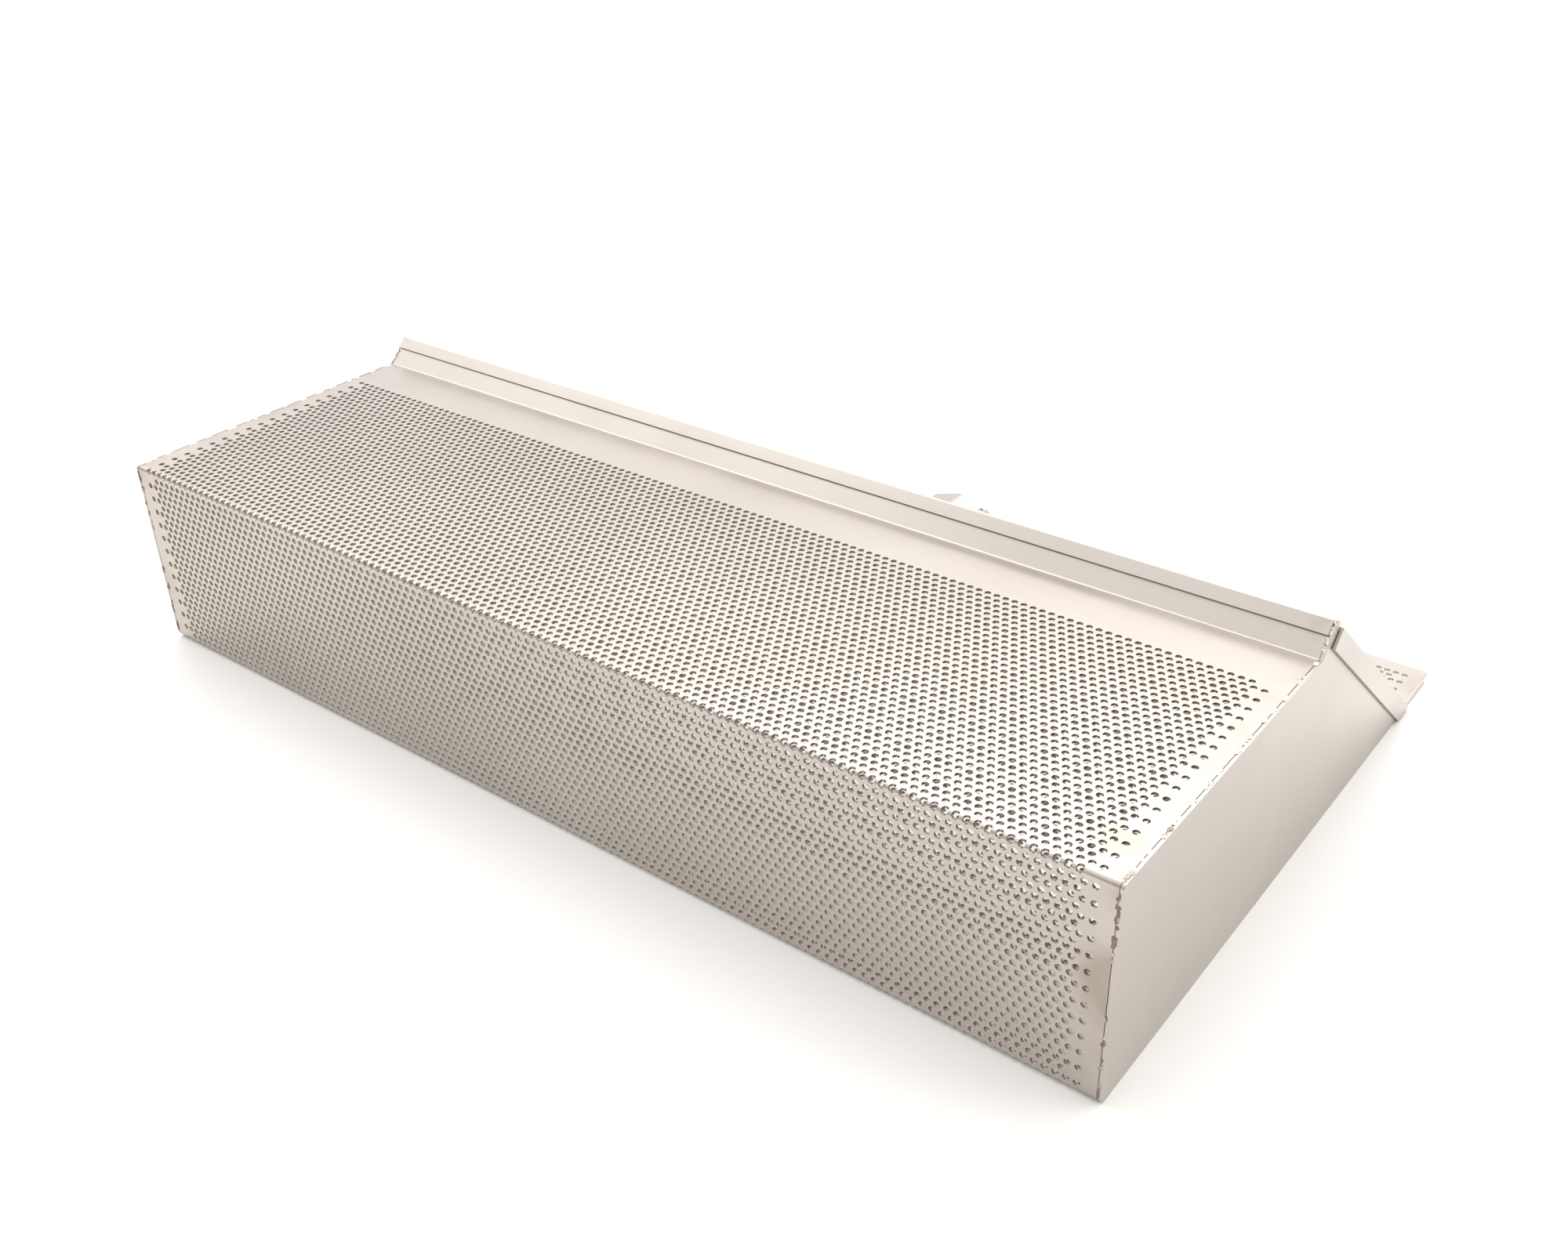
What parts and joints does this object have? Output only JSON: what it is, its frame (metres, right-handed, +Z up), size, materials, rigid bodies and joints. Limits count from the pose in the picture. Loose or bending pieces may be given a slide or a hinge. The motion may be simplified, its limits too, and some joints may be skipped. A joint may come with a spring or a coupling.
{
  "type": "perforated strainer box",
  "caption": "Long perforated sheet-metal strainer box with plain end plates, an open sloping rear face, a hemmed rear flange and a lift handle on its base lip.",
  "frame": {"origin": "middle of the underside, halfway between the front face and the rear edge of the base lip", "axes": "+X along the length, to the right seen from the front; +Y from the front towards the open rear; +Z up"},
  "size_m": [0.6034, 0.3771, 0.1239],
  "materials": {
    "perforated_sheet": "pale warm satin mill finish with faint smudges",
    "end_plate": "pale warm satin mill finish",
    "handle": "pale warm satin mill finish",
    "weld": "lumpy fused bead with brown heat tint"
  },
  "bodies": {
    "root": {"wrap_sheet": "perforated_sheet", "end_plate_left": "end_plate", "end_plate_right": "end_plate", "lift_handle": "handle", "top_seam_weld_left": "weld", "top_seam_weld_right": "weld", "front_seam_weld_left": "weld", "front_seam_weld_right": "weld", "flange_seam_weld_left": "weld", "flange_seam_weld_right": "weld", "base_seam_weld_left": "weld", "base_seam_weld_right": "weld", "handle_weld": "weld"}
  },
  "joints": []
}
